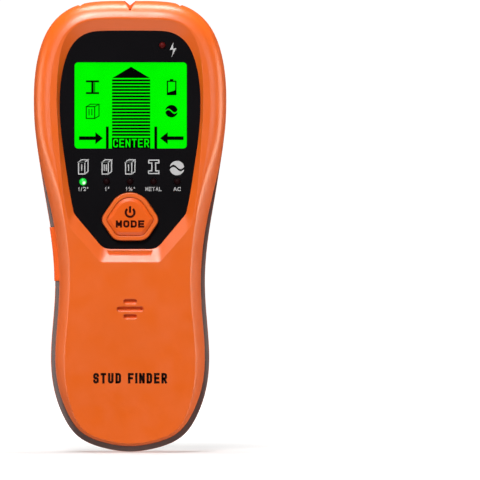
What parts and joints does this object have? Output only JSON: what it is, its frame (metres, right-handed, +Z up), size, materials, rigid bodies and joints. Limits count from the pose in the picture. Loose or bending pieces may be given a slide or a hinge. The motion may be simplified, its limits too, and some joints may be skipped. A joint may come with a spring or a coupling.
{
  "type": "stud finder",
  "caption": "Hand-held stud finder with a waisted body, sunk display window with a lit screen, mode key in a raised collar, side key and sliding battery door.",
  "frame": {"origin": "middle of the lower end, where it stands upright", "axes": "+Z up along the body from the handle to the sensing head, -Y out of the face with the display, +Y out of the flat back that is held against the wall, +X to the right as the user sees the display"},
  "size_m": [0.0666, 0.03, 0.1559],
  "materials": {
    "orange_plastic": "fine moulded grain, satin",
    "grip_rubber": "soft matt elastomer",
    "window_black": "gloss, printed black from behind, clear over the display",
    "display_green": "lit green display panel with black segments",
    "light_plate": "clear moulded light plate",
    "black_plastic": "moulded black",
    "white_plastic": "moulded white",
    "contact_rubber": "layered silicone",
    "board_green": "glass-fibre circuit board with green mask",
    "ceramic_brown": "fired ceramic",
    "steel": "nickel-plated",
    "copper": "copper",
    "gold_pins": "gold-plated pins in black plastic",
    "battery_wrap": "printed steel case",
    "red_lead": "insulated lead",
    "black_lead": "insulated lead",
    "lamp_green": "lit green lamp",
    "lamp_dark": "unlit lamp",
    "lamp_red": "unlit red lamp"
  },
  "bodies": {
    "casing": {"ac_warning_led": "lamp_red", "battery": "battery_wrap", "battery_lead_black": "black_lead", "battery_lead_red": "red_lead", "battery_negative_stud": "steel", "battery_positive_stud": "steel", "battery_snap": "black_plastic", "battery_snap_contacts": "steel", "board_link_header": "gold_pins", "board_screws": "steel", "case_screws": "steel", "display_window": "window_black", "front_shell": "orange_plastic", "lcd_backlight": "light_plate", "lcd_frame": "black_plastic", "lcd_glass": "display_green", "lcd_zebra_strips": "contact_rubber", "main_board": "board_green", "metal_coil": "copper", "microcontroller": "black_plastic", "mode_led_1": "lamp_green", "mode_led_2": "lamp_dark", "mode_led_3": "lamp_dark", "mode_led_4": "lamp_dark", "mode_led_5": "lamp_dark", "mode_switch": "black_plastic", "piezo_buzzer": "black_plastic", "quartz_crystal": "steel", "rear_shell": "orange_plastic", "sensor_board": "board_green", "sensor_plates": "copper", "side_grip_band": "grip_rubber", "side_switch": "black_plastic", "surface_mount_parts": "ceramic_brown"},
    "mode_key": {"mode_key": "orange_plastic", "mode_switch_plunger": "white_plastic"},
    "side_key": {"side_key": "orange_plastic", "side_switch_plunger": "white_plastic"},
    "battery_door": {"battery_door": "orange_plastic"}
  },
  "joints": [
    {"name": "mode_key_press", "type": "slide", "parent": "casing", "child": "mode_key", "axis": [0, 1, 0], "range_m": [0, 0.0006], "stiffness_N_per_m": 800, "springref_m": -0.0005},
    {"name": "side_key_press", "type": "slide", "parent": "casing", "child": "side_key", "axis": [1, 0, 0], "range_m": [0, 0.0007], "stiffness_N_per_m": 800, "springref_m": -0.0005},
    {"name": "battery_door_slide", "type": "slide", "parent": "casing", "child": "battery_door", "axis": [0, 0, -1], "range_m": [0, 0.05]}
  ]
}
